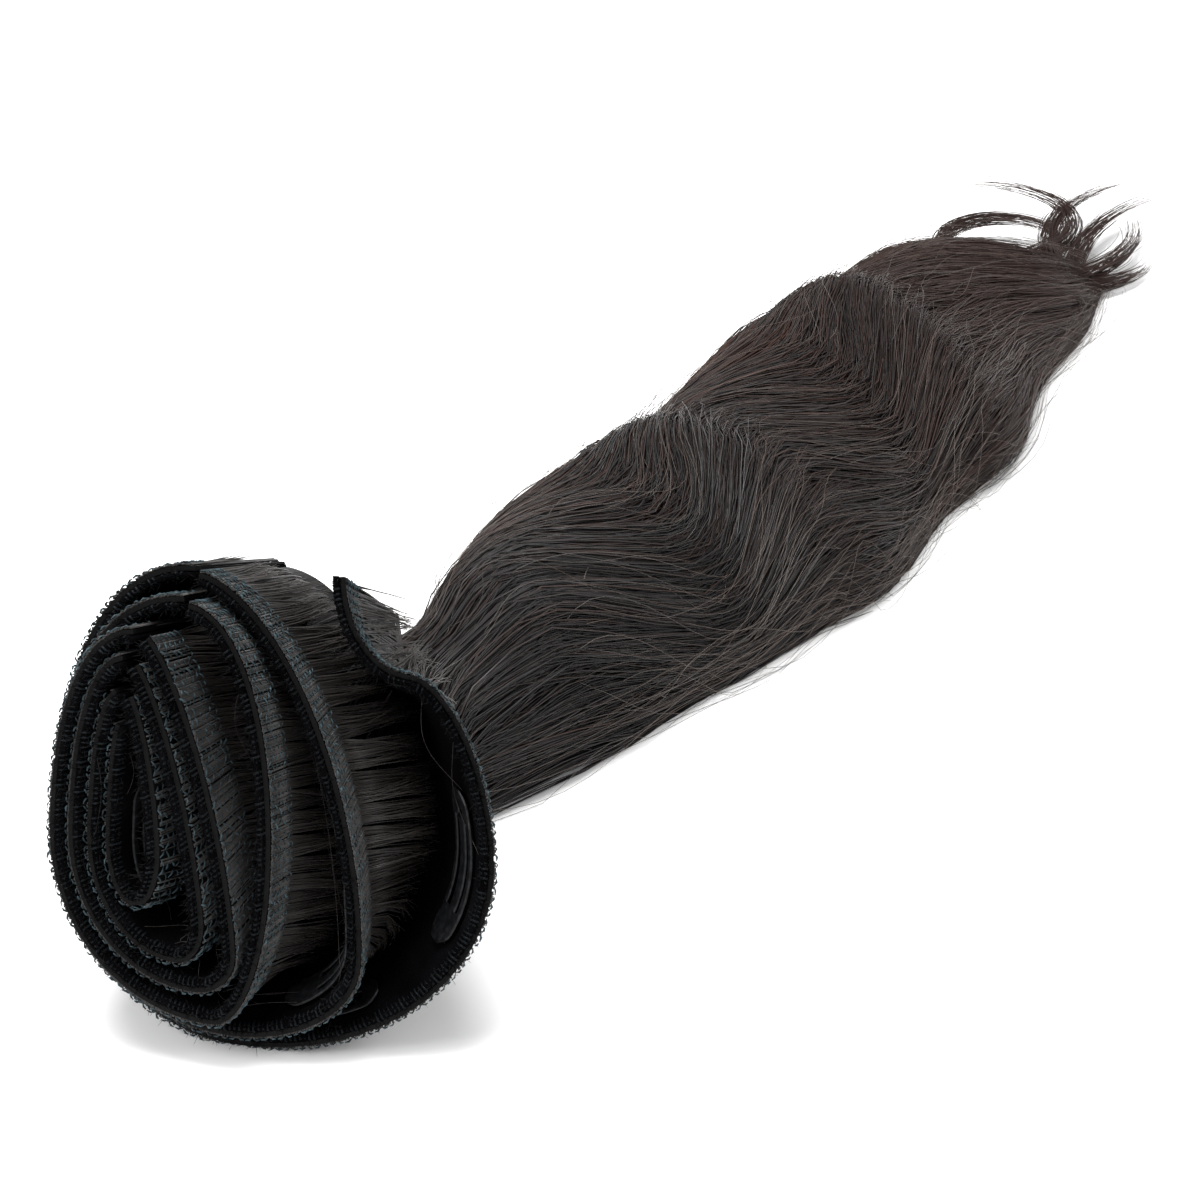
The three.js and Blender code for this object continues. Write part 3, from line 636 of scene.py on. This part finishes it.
bpy.ops.mesh.primitive_grid_add(x_subdivisions=34, y_subdivisions=7, size=1)
pattern = bpy.context.active_object
pattern.scale = (CLIP_LENGTH, CLIP_WIDTH, 1)
bpy.ops.object.transform_apply(scale=True)
cut = bmesh.new()
cut.from_mesh(pattern.data)
slots = []
for face in cut.faces:
    middle = face.calc_center_median()
    if TONGUE_HALF < abs(middle.y) < SLOT_EDGE and SLOT_ENDS[0] < middle.x < SLOT_ENDS[1]:
        slots.append(face)
    if abs(middle.y) < TONGUE_HALF and HOLE_END < middle.x < SLOT_ENDS[0]:
        slots.append(face)
bmesh.ops.delete(cut, geom=slots, context="FACES")
for vertex in cut.verts:
    past = (abs(vertex.co.x) - (CLIP_LENGTH / 2 - CLIP_NOSE)) / CLIP_NOSE
    if past > 0:
        vertex.co.y *= 1 - CLIP_NARROWING * past**2
cut.to_mesh(pattern.data)
cut.free()
thick = pattern.modifiers.new("sheet steel", "SOLIDIFY")
thick.thickness = STEEL
thick.offset = 0
rounded = pattern.modifiers.new("worn edges", "BEVEL")
rounded.width = 0.14
rounded.segments = 2
bpy.context.view_layer.objects.active = pattern
for modifier in ("sheet steel", "worn edges"):
    bpy.ops.object.modifier_apply(modifier=modifier)
flat = np.array([v.co for v in pattern.data.vertices])
faces = [list(p.vertices) for p in pattern.data.polygons]
bpy.data.objects.remove(pattern)

for number, (turn, at) in enumerate(CLIPS, 1):
    t, lengths = along_turn(turn)
    run = at * lengths[-1] + flat[:, 0]
    s = CLIP_SETBACK + CLIP_WIDTH / 2 + flat[:, 1]
    bulge = CLIP_BULGE * (1 - (flat[:, 1] / (CLIP_WIDTH / 2)) ** 2)
    offset = -RIBBON_WALL - GAP - 0.35 - CLIP_THICKNESS / 2 - bulge - flat[:, 2]
    points = on_turn(turn, np.interp(run, lengths, t), s, offset)
    clip = add_mesh(f"snap_clip_{number}", points, faces)
    face_out(clip)
    smooth(clip)
    clip.data.materials.append(clip_paint)
    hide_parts(f"clip_{number}")


# The long hair. It leaves the hub as one bundle, lies on the floor in three waves with a ridge
# between each two, and thins out to curled wisps. A dark core fills it, and thousands of
# strands in locks lie over the core.
HAIR_LENGTH = 352
HAIR_WIDTH = 84
HAIR_HEIGHT = 38
ROOT_FOOT = 0.9
ROOT_HEIGHT = 0.97
# Shares: x of the length, near and far edge of the width, height of the height, and skew.
SECTIONS = np.array([
    (0.065, 0.17, 0.53, 0.98, 0.3),
    (0.125, 0.11, 0.68, 0.95, 0.25),
    (0.19, 0.08, 0.82, 0.92, 0.2),
    (0.25, 0.06, 0.9, 0.9, 0.17),
    (0.31, 0.02, 0.93, 0.92, 0.16),
    (0.355, 0, 0.93, 0.97, 0.16),
    (0.385, -0.02, 0.92, 1, 0.16),
    (0.405, -0.04, 0.94, 0.88, 0.2),
    (0.44, -0.06, 0.98, 0.8, 0.24),
    (0.49, -0.04, 1.04, 0.76, 0.28),
    (0.54, 0.01, 1.09, 0.76, 0.34),
    (0.6, 0.06, 1.14, 0.8, 0.4),
    (0.65, 0.05, 1.15, 0.85, 0.45),
    (0.685, 0.04, 1.14, 0.88, 0.48),
    (0.705, 0.05, 1.15, 0.76, 0.46),
    (0.745, 0.1, 1.16, 0.68, 0.4),
    (0.8, 0.23, 1.17, 0.64, 0.3),
    (0.86, 0.3, 1.18, 0.58, 0.2),
    (0.91, 0.34, 1.13, 0.5, 0.1),
    (0.955, 0.42, 0.99, 0.38, 0),
    (1, 0.48, 0.78, 0.2, 0),
])
hub_ring = turn_rings(OUTER)[2]
hub_top = hub_ring["top"][1] + LAYER_AT_HUB
hub_bottom = floor_at(HUB_DEPTH)
hub_n = (hub_ring["right"][0] + hub_ring["left"][0]) / 2
hub_w = (hub_top + hub_bottom) / 2
hair_root = to_frame(np.array(float(HUB_DEPTH)), np.array(hub_n), np.array(hub_w)) / MM
HAIR_OFFSET = FOOT_SETBACK * math.sin(ROLL_TURN)

ACROSS = np.linspace(0, 1, 181)
root_angle = -math.pi / 2 + ROOT_FOOT + (2 * math.pi - 2 * ROOT_FOOT) * ACROSS
half_n = (hub_ring["left"][0] - hub_ring["right"][0] + LAYER_AT_HUB) / 2
half_w = (hub_top - hub_bottom) / 2 * ROOT_HEIGHT
root_depth = np.full(ACROSS.shape, HUB_DEPTH + GAP)
root_w = np.maximum(hub_w + half_w * np.sin(root_angle), floor_at(HUB_DEPTH + GAP))
rows = [to_frame(root_depth, hub_n - half_n * np.cos(root_angle), root_w) / MM]
for x, near, far, high, skew in SECTIONS:
    middle, half = (near + far) / 2 * HAIR_WIDTH, (far - near) / 2 * HAIR_WIDTH
    angle = math.pi * ACROSS
    y = middle - np.sign(np.cos(angle)) * np.abs(np.cos(angle)) ** (2 / 2.3) * half
    z = np.maximum(np.sin(angle), 0) ** (2 / 2.3) * high * HAIR_HEIGHT
    rows.append(np.stack([hair_root[0] + x * HAIR_LENGTH + skew * (y - middle), y - HAIR_OFFSET, z], axis=-1))
rows = np.stack(rows)
row_x = np.concatenate([[0], SECTIONS[:, 0]])


def slopes(values, places):
    """The slope at each row of a smooth curve through all of them, however far they are apart."""
    step = np.diff(places)[:, None, None]
    grade = np.diff(values, axis=0) / step
    inside = (grade[1:] * step[:-1] + grade[:-1] * step[1:]) / (step[1:] + step[:-1])
    return np.concatenate([grade[:1], inside, grade[-1:]])


ALONG = np.linspace(0, 1, 561)
grade = slopes(rows, row_x)
cell = np.clip(np.searchsorted(row_x, ALONG, side="right") - 1, 0, len(row_x) - 2)
width = (row_x[cell + 1] - row_x[cell])[:, None, None]
share = (ALONG[:, None, None] - row_x[cell][:, None, None]) / width
skin = (
    (2 * share**3 - 3 * share**2 + 1) * rows[cell]
    + (share**3 - 2 * share**2 + share) * width * grade[cell]
    + (3 * share**2 - 2 * share**3) * rows[cell + 1]
    + (share**3 - share**2) * width * grade[cell + 1]
)
skin_out = np.cross(np.gradient(skin, axis=0), np.gradient(skin, axis=1))
skin_out /= np.maximum(np.linalg.norm(skin_out, axis=2, keepdims=True), 1e-9)
if skin_out[len(ALONG) // 2, len(ACROSS) // 2, 2] < 0:
    skin_out = -skin_out
arc = np.linalg.norm(np.diff(skin, axis=1), axis=2).sum(axis=1)


def over_hair(x, v, rise):
    """Points over the bundle: x along it, v across it from its near to its far edge, and rise."""
    fx = np.clip(x, 0, 1) * (len(ALONG) - 1)
    fv = np.clip(v, 0, 1) * (len(ACROSS) - 1)
    ix = np.minimum(fx.astype(int), len(ALONG) - 2)
    iv = np.minimum(fv.astype(int), len(ACROSS) - 2)
    ax, av = (fx - ix)[..., None], (fv - iv)[..., None]

    def blend(grid):
        low = grid[ix, iv] * (1 - av) + grid[ix, iv + 1] * av
        high = grid[ix + 1, iv] * (1 - av) + grid[ix + 1, iv + 1] * av
        return low * (1 - ax) + high * ax

    points = blend(skin) + blend(skin_out) * np.asarray(rise)[..., None]
    points[..., 2] = np.maximum(points[..., 2], 0.25)
    return points * MM


# How far the strands swing to the far side along the bundle, in millimetres.
SWING = [
    {"x": 0, "far": 0},
    {"x": 0.15, "far": 17},
    {"x": 0.3, "far": -20},
    {"x": 0.43, "far": 21},
    {"x": 0.58, "far": -14},
    {"x": 0.71, "far": 20},
    {"x": 0.9, "far": -12},
    {"x": 1, "far": -16},
]
fine_x = np.linspace(0, 1, 400)
fine_swing = np.interp(fine_x, [row["x"] for row in SWING], [row["far"] for row in SWING])
EASE = 20
kernel = np.hanning(2 * EASE + 1)
fine_swing = np.convolve(np.pad(fine_swing, EASE, mode="edge"), kernel / kernel.sum(), mode="valid")


def swing(x, v):
    edge = np.sin(math.pi * np.clip(v, 0.02, 0.98)) ** 0.6
    across = np.interp(x, ALONG, arc)
    return np.interp(x, fine_x, fine_swing) / across * edge


# The core lies under the strands, with grooves that run between the locks.
CORE_ROWS = 170
CORE_POINTS = 91
CORE_GROOVES = 17
CORE_DEEPEST = 3.2
GROOVE_DEPTH = 1.3
core_x = np.linspace(0, 1, CORE_ROWS)
core_v = np.linspace(0, 1, CORE_POINTS)
skin_x, vv = np.meshgrid(core_x, core_v, indexing="ij")
groove = np.abs(np.sin((vv - swing(skin_x, vv)) * math.pi * CORE_GROOVES)) ** 0.7
sink = -(CORE_DEEPEST - GROOVE_DEPTH * groove) * np.minimum(1, (1 - skin_x) * 8 + 0.35)
core = over_hair(skin_x, vv, sink)
foot = core[:, :1] + (core[:, -1:] - core[:, :1]) * np.linspace(0, 1, 12)[None, 1:-1, None]
foot[..., 2] = 0
points = np.concatenate([core, foot[:, ::-1]], axis=1)
long_hair_core = strand_material(
    "long_hair_core", (0.0016, 0.0014, 0.0014), (0.003, 0.0026, 0.0026), (0.003, 0.002, 0.002), 0.1
)
core_piece = add_mesh("long_hair_core", points, lofted(points), np.full((points.size // 3, 4), 0.3))
face_out(core_piece)
smooth(core_piece)
core_piece.data.materials.append(long_hair_core)
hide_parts("hair")

long_hair = strand_material(
    "long_hair", (0.0012, 0.001, 0.0011), (0.0165, 0.015, 0.015), (0.046, 0.02, 0.0135), 0.4
)
LOCKS = 54
STRAND_STEPS = 26
HAIR_PARTS = 4
STRANDS_IN_PART = 540
FULL_LENGTH_SHARE = 0.6
lock_middle = (np.arange(LOCKS) + 0.5 + np.random.default_rng(3).uniform(-0.45, 0.45, LOCKS)) / LOCKS
lock_high = np.random.default_rng(4).uniform(-0.7, 0.7, LOCKS)
lock_tone = np.random.default_rng(5).normal(0.4, 0.12, LOCKS)


def lock_strands(count, starts, ends, steps, spread):
    """Strands that run in locks: each follows the middle of its lock with a drift of its own."""
    lock = chance.integers(0, LOCKS, count)
    middle = lock_middle[lock]
    drift = chance.normal(0, spread, count) / LOCKS
    share = np.linspace(0, 1, steps)[None, :]
    x = starts[:, None] + (ends - starts)[:, None] * share
    lock_phase = (lock * 2.39)[:, None]
    lock_wave = np.sin(x * 17 + lock_phase) * np.sin(x * 7 + lock_phase * 2) / LOCKS
    tighten = 1 - 0.4 * np.abs(np.sin(x * 11 + lock_phase))
    cross = chance.normal(0, 1.3, (count, 1)) / LOCKS
    cross = cross * np.sin(x * chance.uniform(5, 14, (count, 1)) + lock_phase)
    v = middle[:, None] + lock_wave * 1.3 + drift[:, None] * tighten + cross
    v = v + swing(x, np.clip(v, 0, 1))
    dome = 1 - np.minimum(np.abs(drift) * LOCKS, 1.2)
    rise = -1.6 + 1.5 * dome[:, None] + 1.4 * lock_high[lock][:, None] + chance.normal(0, 0.3, (count, 1))
    rise = rise + 0.5 * np.sin(x * 13 + lock_phase) + 0.35 * np.sin(x * 31 + chance.uniform(0, 6, (count, 1)))
    return x, v, rise, lock


for part in range(HAIR_PARTS):
    count = STRANDS_IN_PART
    starts = chance.uniform(-0.02, 0.02, count)
    full_length = chance.uniform(0, 1, count) < FULL_LENGTH_SHARE
    ends = np.where(full_length, chance.uniform(0.93, 1, count), chance.uniform(0.6, 0.95, count))
    x, v, rise, lock = lock_strands(count, starts, ends, STRAND_STEPS, 0.6)
    paths = over_hair(x, v, rise)
    share = np.linspace(0, 1, STRAND_STEPS)[None, :]
    width = chance.uniform(0.12, 0.27, (count, 1)) * (1 - 0.75 * share**6) * MM
    tone = np.clip(lock_tone[lock] + chance.normal(0, 0.26, count), 0, 1)
    far_side = np.clip((v[:, -1] - 0.45) * 1.1, 0, 0.5)
    tint = np.clip(far_side + np.maximum(chance.normal(0.04, 0.14, count), 0), 0, 0.7)
    add_strands(f"long_hair_{part + 1}", paths, width, tone, long_hair, tint=tint)

# The layered ends that break out over the two ridges, lighter at their tips, and on the first ridge some with
# a painted highlight at the tip.
RIDGES = [0.405, 0.698]
RIDGE_STRANDS = 400
RIDGE_STEPS = 11
# A painted highlight: a copy of the hair whose tips turn light grey where the light catches them.
ridge_tips_painted_highlight = strand_material(
    "ridge_tips_painted_highlight", (0.002, 0.0019, 0.002), (0.022, 0.021, 0.022), (0.26, 0.255, 0.255), 0.6
)
for number, ridge in enumerate(RIDGES, 1):
    count = RIDGE_STRANDS
    starts = ridge - chance.uniform(0.07, 0.16, count)
    ends = ridge + np.abs(chance.normal(0.004, 0.02, count))
    x, v, rise, _ = lock_strands(count, starts, ends, RIDGE_STEPS, 0.6)
    share = np.linspace(0, 1, RIDGE_STEPS)[None, :]
    rise = rise + 0.5 + chance.uniform(-0.3, 3.4, (count, 1)) * share**5
    paths = over_hair(x, v, rise)
    forward = chance.uniform(0, 6, (count, 1)) * np.maximum(share - 0.75, 0) / 0.25 * MM
    paths[..., 0] += forward
    paths[..., 1] += forward * chance.uniform(-0.2, 1.0, (count, 1))
    width = chance.uniform(0.1, 0.17, (count, 1)) * (1 - 0.6 * share**3) * MM
    tone = np.clip(chance.normal(0.35, 0.2, count), 0, 1)
    # On the far half of the first ridge the tips get a painted highlight: a light grey tip colour stands in
    # for the light they catch.
    painted_highlight_lit = (v[:, -1] > chance.uniform(0.45, 0.8, count)) & (number == 1)
    for kind, chosen, material in (("dark", ~painted_highlight_lit, long_hair), ("light", painted_highlight_lit, ridge_tips_painted_highlight)):
        if chosen.any():
            name = f"ridge_ends_{number}_{kind}"
            add_strands(name, paths[chosen], width[chosen], tone[chosen], material)

# The curled wisps at the tips: each a thin lock whose curl tightens towards its end.
WISPS = [
    {"x": 0.95, "y": 0.57, "heading": -39, "length": 0.141, "curl": 61, "rise": 0.132, "end": 0.053},
    {"x": 0.95, "y": 0.54, "heading": -12, "length": 0.23, "curl": 55, "rise": 0.184, "end": 0.105},
    {"x": 0.955, "y": 0.76, "heading": -22, "length": 0.3, "curl": 171, "rise": 0.211, "end": 0.237},
    {"x": 0.96, "y": 0.6, "heading": 39, "length": 0.265, "curl": -65, "rise": 0.237, "end": 0.211},
    {"x": 0.96, "y": 0.54, "heading": 25, "length": 0.257, "curl": -44, "rise": 0.158, "end": 0.184},
    {"x": 0.93, "y": 0.98, "heading": 50, "length": 0.24, "curl": -230, "rise": 0.211, "end": 0.211},
]
WISP_STRANDS = 90
WISP_STEPS = 22
LEAD_IN = 0.28
wisp_hair = strand_material(
    "wisp_hair", (0.004, 0.002, 0.0018), (0.022, 0.0105, 0.008), (0.034, 0.014, 0.009), 0.3
)
wisp_paths = []
for row in WISPS:
    share = np.linspace(-LEAD_IN, 1, WISP_STEPS)
    ahead = np.maximum(share, 0)
    angle = np.radians(row["heading"] + row["curl"] * ahead**1.5)
    step = row["length"] * HAIR_LENGTH * (share[1] - share[0])
    run_x = np.cumsum(np.cos(angle)) * step
    run_y = np.cumsum(np.sin(angle)) * step
    begin = np.argmin(np.abs(share))
    run_x += hair_root[0] + row["x"] * HAIR_LENGTH - run_x[begin]
    run_y += row["y"] * HAIR_WIDTH - HAIR_OFFSET - run_y[begin]
    high = (row["rise"] + (row["end"] - row["rise"]) * ahead) * HAIR_HEIGHT
    for number in range(WISP_STRANDS):
        # Two in three keep to the lock, and the rest stray from it.
        strays = 3.4 if number % 3 == 0 else 0.8
        radius = 3.8 * (1 - ahead) ** 0.7 * math.sqrt(chance.uniform(0, 1)) + 0.4
        around = chance.uniform(0, 2 * math.pi) + ahead * chance.uniform(-1.5, 1.5)
        side = radius * np.cos(around) + chance.normal(0, 1) * (ahead**2 * strays + 0.3)
        up = radius * np.sin(around) * 0.8 + abs(chance.normal(0, 0.3)) * ahead * strays
        path = np.stack([run_x - np.sin(angle) * side, run_y + np.cos(angle) * side, high + up], axis=-1)
        keep = np.linspace(0, (WISP_STEPS - 1) * chance.uniform(0.55, 1), WISP_STEPS)
        kept = [np.interp(keep, np.arange(WISP_STEPS), path[:, axis]) for axis in range(3)]
        wisp_paths.append(np.stack(kept, axis=-1))
paths = np.stack(wisp_paths) * MM
share = np.linspace(0, 1, WISP_STEPS)[None, :]
count = len(paths)
width = chance.uniform(0.1, 0.2, (count, 1)) * (1 - 0.8 * share**3) * MM
add_strands("wisps", paths, width, np.clip(chance.normal(0.45, 0.22, count), 0, 1), wisp_hair,
            tint=chance.uniform(0.1, 0.7, count))

# Loose single hairs that stand a little off the bundle, coloured a much lighter grey than the bundle's hair
# as a painted sheen.
FLYAWAYS = 460
FLYAWAY_STEPS = 15
count = FLYAWAYS
starts = chance.uniform(0, 0.85, count)
ends = np.minimum(starts + chance.uniform(0.1, 0.3, count), 1)
x, v, _, _ = lock_strands(count, starts, ends, FLYAWAY_STEPS, 0.8)
share = np.linspace(0, 1, FLYAWAY_STEPS)[None, :]
stays = chance.uniform(0, 1, (count, 1)) < 0.5
near_edge = np.round(v) * 0.9 + 0.05 + chance.normal(0, 0.03, (count, 1))
wander = chance.normal(0, 0.035, (count, 1)) * np.sin(share * chance.uniform(2, 9, (count, 1)))
v = np.where(stays, v, near_edge) + wander
highest = np.abs(chance.normal(0, 4, (count, 1)))
rise = 0.5 + highest * np.sin(share * math.pi * chance.uniform(0.5, 1, (count, 1)))
paths = over_hair(x, v, rise)
width = np.full((count, 1), 0.075) * (1 - 0.5 * share) * MM
# Painted sheen: these hairs are given a lighter grey than the rest of the hair, for the light that single
# hairs catch.
flyaway_painted_sheen = strand_material("flyaway_hair_painted_sheen", (0.01, 0.009, 0.009), (0.09, 0.08, 0.075), (0.12, 0.08, 0.06), 0.6)
add_strands("flyaway_hairs", paths, width, chance.uniform(0, 1, count), flyaway_painted_sheen,
            tint=chance.uniform(0, 0.4, count))


# The stand, the light and the camera: a plain pale floor, soft light from above and the sides,
# and the camera where the photograph was taken from.
bpy.ops.mesh.primitive_plane_add(size=8, location=(0, 0, 0))
floor = bpy.context.active_object
floor.name = "pale_floor"
pale, _, _, surface = new_material("pale_floor")
surface.inputs["Base Color"].default_value = (0.93, 0.93, 0.93, 1)
surface.inputs["Roughness"].default_value = 0.9
surface.inputs["Specular IOR Level"].default_value = 0.1
floor.data.materials.append(pale)

world = bpy.data.worlds.new("soft_room")
bpy.context.scene.world = world
world.use_nodes = True
world.node_tree.nodes["Background"].inputs["Color"].default_value = (1, 1, 1, 1)
world.node_tree.nodes["Background"].inputs["Strength"].default_value = 0.6


def soft_light(name, place, aim, size, watts):
    lamp = bpy.data.lights.new(name, "AREA")
    lamp.size = size
    lamp.energy = watts
    holder = bpy.data.objects.new(name, lamp)
    holder.location = place
    holder.rotation_euler = (Vector(aim) - Vector(place)).to_track_quat("-Z", "Y").to_euler()
    bpy.context.scene.collection.objects.link(holder)


soft_light("light_above", (0.1, 0.25, 1.2), (0.2, 0.03, 0), 0.7, 22)
soft_light("light_left", (-0.7, 0.5, 0.7), (0.2, 0.03, 0), 0.5, 7)
soft_light("light_right", (0.5, -0.9, 0.8), (0.2, 0.03, 0), 0.6, 6)

TURNED = math.radians(-52.31)
RAISED = math.radians(31)
AWAY = 0.5618
AIM = Vector((0.1421, 0.0308, 0.015))
back = Vector((math.sin(TURNED) * math.cos(RAISED), -math.cos(TURNED) * math.cos(RAISED), math.sin(RAISED)))
right = Vector((math.cos(TURNED), math.sin(TURNED), 0))
up = back.cross(right)
lens = bpy.data.cameras.new("camera")
lens.sensor_width = 36
lens.lens = 72
lens.clip_start = 0.01
camera = bpy.data.objects.new("camera", lens)
turned = Matrix((right, up, back)).transposed().to_4x4()
camera.matrix_world = Matrix.Translation(AIM + back * AWAY) @ turned
bpy.context.scene.collection.objects.link(camera)
bpy.context.scene.camera = camera
bpy.context.scene.view_settings.view_transform = "Standard"

low, high = cad_box
